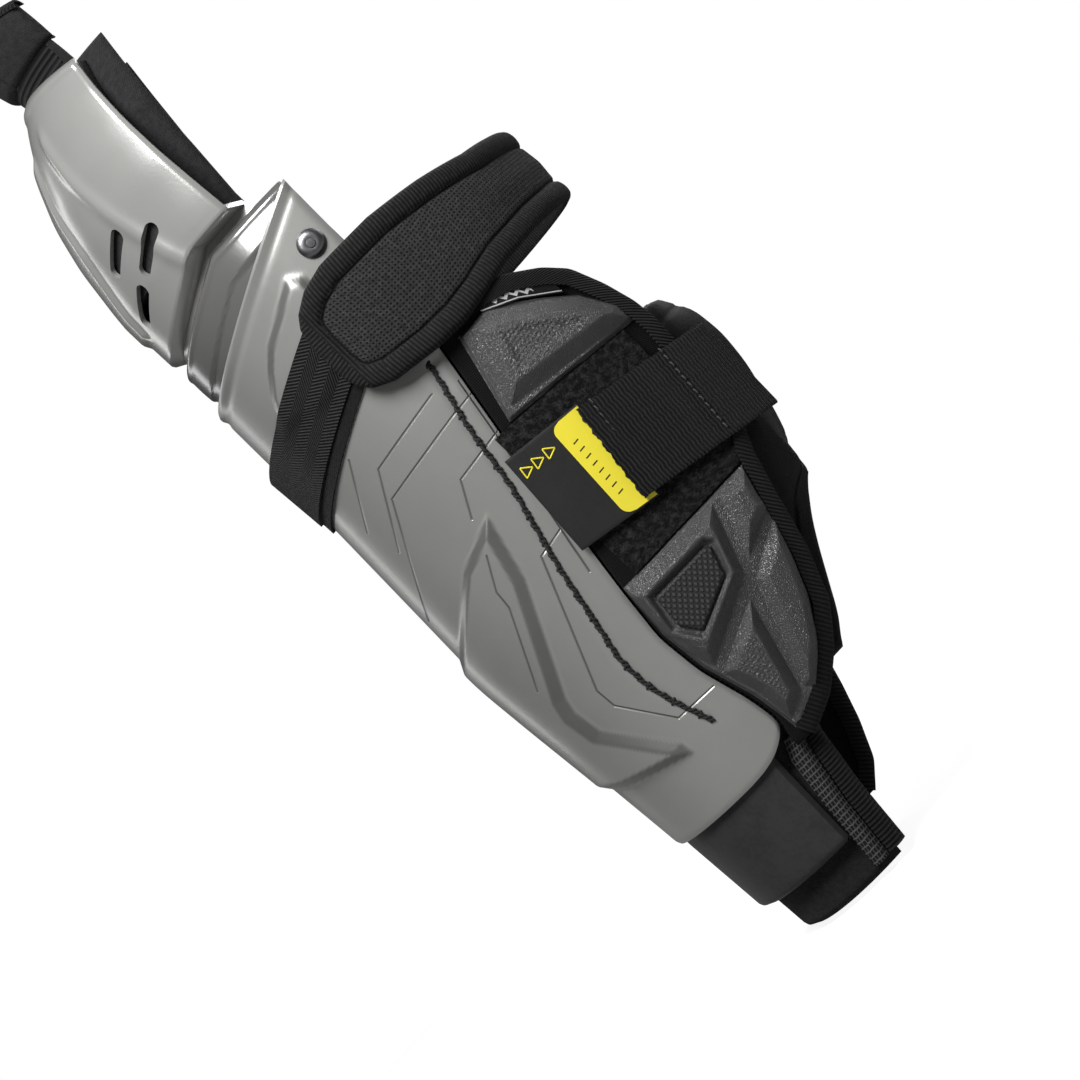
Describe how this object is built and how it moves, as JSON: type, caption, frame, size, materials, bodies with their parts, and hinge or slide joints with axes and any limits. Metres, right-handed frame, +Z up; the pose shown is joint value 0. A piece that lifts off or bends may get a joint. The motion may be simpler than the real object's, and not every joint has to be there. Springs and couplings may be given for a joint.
{
  "type": "knee and shin guard",
  "caption": "Articulated knee and shin guard with a hard shell over padding, hinged calf wings, a wrap behind the knee and a strap that peels off.",
  "frame": {"origin": "knee centre, in the middle of the leg that wears the guard", "axes": "+Z up along the leg, -Y to the front of the leg, +X to the outer (lateral) side"},
  "size_m": [0.1739, 0.1774, 0.51],
  "materials": {
    "shell": "satin silver-grey moulded shell",
    "link": "polished grey moulded shell",
    "thread": "waxed black thread",
    "foam": "closed-cell foam",
    "skirt": "smooth dark flexible panel",
    "liner": "brushed liner over foam",
    "hex_mesh": "grey knitted mesh",
    "binding": "ribbed binding tape",
    "elastic": "woven elastic",
    "wrap_mesh": "spacer mesh over foam",
    "hook": "hook tape",
    "rivet": "blackened steel rivet",
    "wing": "textile over foam board",
    "pad": "grained moulded pad",
    "insert": "grained insert",
    "loop": "brushed loop fabric",
    "label": "woven label",
    "panel": "smooth black moulded textile",
    "webbing": "grosgrain webbing",
    "pull_tab": "coated plastic sheet",
    "yellow": "yellow print"
  },
  "bodies": {
    "shin": {"shin_shell": "shell", "stitch_lateral": "thread", "stitch_medial": "thread", "shin_foam": "foam", "ankle_skirt": "skirt", "shin_liner": "liner", "liner_side": "hex_mesh", "liner_binding": "binding", "front_strap": "elastic", "strap_anchor": "elastic", "wrap_back": "wrap_mesh", "pivot_rivets": "rivet"},
    "link": {"knee_link": "link"},
    "cap": {"knee_cap": "shell", "knee_foam": "foam", "knee_liner": "liner"},
    "thigh": {"thigh_flap": "wrap_mesh", "thigh_binding": "binding"},
    "wing_outer": {"wing_lateral": "wing", "pad_upper_lateral": "pad", "pad_lower_lateral": "pad", "pad_insert": "insert", "loop_band": "loop", "binding_lateral": "binding", "woven_label": "label"},
    "wing_inner": {"wing_medial": "wing", "pad_upper_medial": "pad", "pad_lower_medial": "pad", "binding_medial": "binding"},
    "calf": {"calf_panel": "panel", "strap_root": "webbing"},
    "strap": {"calf_strap": "webbing", "calf_hook": "hook", "pull_tab": "pull_tab", "tab_band": "yellow", "tab_arrows": "yellow"},
    "wrap": {"wrap_tab": "wrap_mesh", "wrap_border": "binding", "wrap_hook": "hook"}
  },
  "joints": [
    {"name": "knee_flex", "type": "hinge", "parent": "shin", "child": "cap", "pos_m": [0, -0.003, -0.07], "axis": [-1, 0, 0], "range_deg": [-4, 16]},
    {"name": "link_flex", "type": "hinge", "parent": "shin", "child": "link", "pos_m": [0, -0.003, -0.07], "axis": [-1, 0, 0], "range_deg": [-2, 8]},
    {"name": "thigh_tilt", "type": "hinge", "parent": "cap", "child": "thigh", "pos_m": [0, -0.03, 0.064], "axis": [1, 0, 0], "range_deg": [-8, 15]},
    {"name": "wing_outer_open", "type": "hinge", "parent": "shin", "child": "wing_outer", "pos_m": [0.0795, -0.01, -0.15], "axis": [-0.1062, -0.0809, -0.991], "range_deg": [0, 22]},
    {"name": "wing_inner_open", "type": "hinge", "parent": "shin", "child": "wing_inner", "pos_m": [-0.0795, -0.01, -0.15], "axis": [-0.1062, 0.0809, 0.991], "range_deg": [0, 22]},
    {"name": "calf_adjust", "type": "hinge", "parent": "wing_outer", "child": "calf", "pos_m": [-0.04, 0.008, -0.25], "axis": [0, 0, 1], "range_deg": [-2, 3]},
    {"name": "calf_strap_peel", "type": "hinge", "parent": "calf", "child": "strap", "pos_m": [0.05503, 0.08225, -0.2035], "axis": [0.0488, 0.0388, 0.9981], "range_deg": [0, 70]},
    {"name": "wrap_peel", "type": "hinge", "parent": "shin", "child": "wrap", "pos_m": [0.07495, 0.0434, -0.106], "axis": [0, 0, 1], "range_deg": [0, 60]}
  ],
  "couplings": [
    {"joint": "link_flex", "follows": "knee_flex", "ratio": 0.5}
  ]
}
